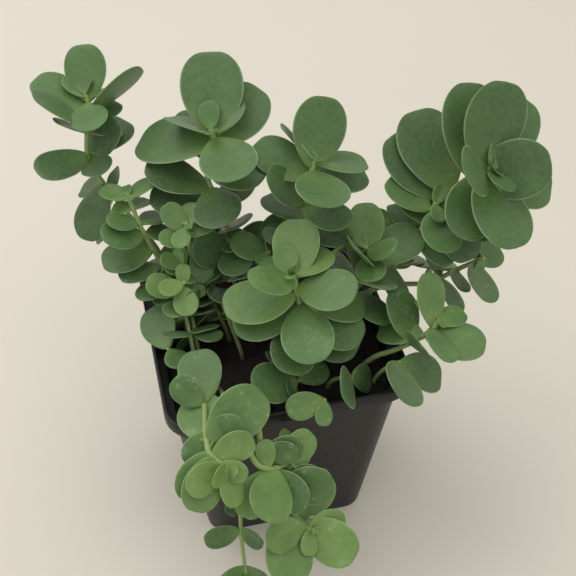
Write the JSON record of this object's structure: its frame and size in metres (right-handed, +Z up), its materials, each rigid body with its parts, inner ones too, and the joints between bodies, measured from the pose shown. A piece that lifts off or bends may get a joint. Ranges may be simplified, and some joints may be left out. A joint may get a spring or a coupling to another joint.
{
  "type": "potted sedum",
  "caption": "Sedum with round fleshy blue-green leaves on branching stems, upright and trailing over the front of a square black nursery pot filled with soil",
  "frame": {"origin": "centre of the flat underside of the pot", "axes": "+X to the right and -Y to the front, where the stems trail over the rim, along the pot's sides; +Z up"},
  "size_m": [0.1833, 0.1811, 0.1712],
  "materials": {
    "pot_plastic": "thin black polypropylene, slightly glossy",
    "soil": null,
    "leaves": null
  },
  "bodies": {
    "root": {"pot": "pot_plastic", "soil": "soil", "stem_middle": "leaves", "stem_back": "leaves", "stem_back_right": "leaves", "stem_far_right": "leaves", "stem_back_left": "leaves", "stem_inner": "leaves", "stem_mid_right": "leaves", "stem_front_right": "leaves", "trail_right": "leaves", "trail_left": "leaves", "trail_middle": "leaves", "stem_left_rim": "leaves", "stem_left_front": "leaves", "stem_left": "leaves", "stem_left_inner": "leaves", "stem_left_small": "leaves", "stem_left_low": "leaves", "stem_mid_left": "leaves", "stem_right_shoot": "leaves", "stem_right_low": "leaves", "trail_long": "leaves", "shoot_front_middle": "leaves", "shoot_front_low": "leaves", "sprig": "leaves", "shoot_front_right": "leaves", "stem_right_inner": "leaves", "stem_back_inner": "leaves"}
  },
  "joints": []
}
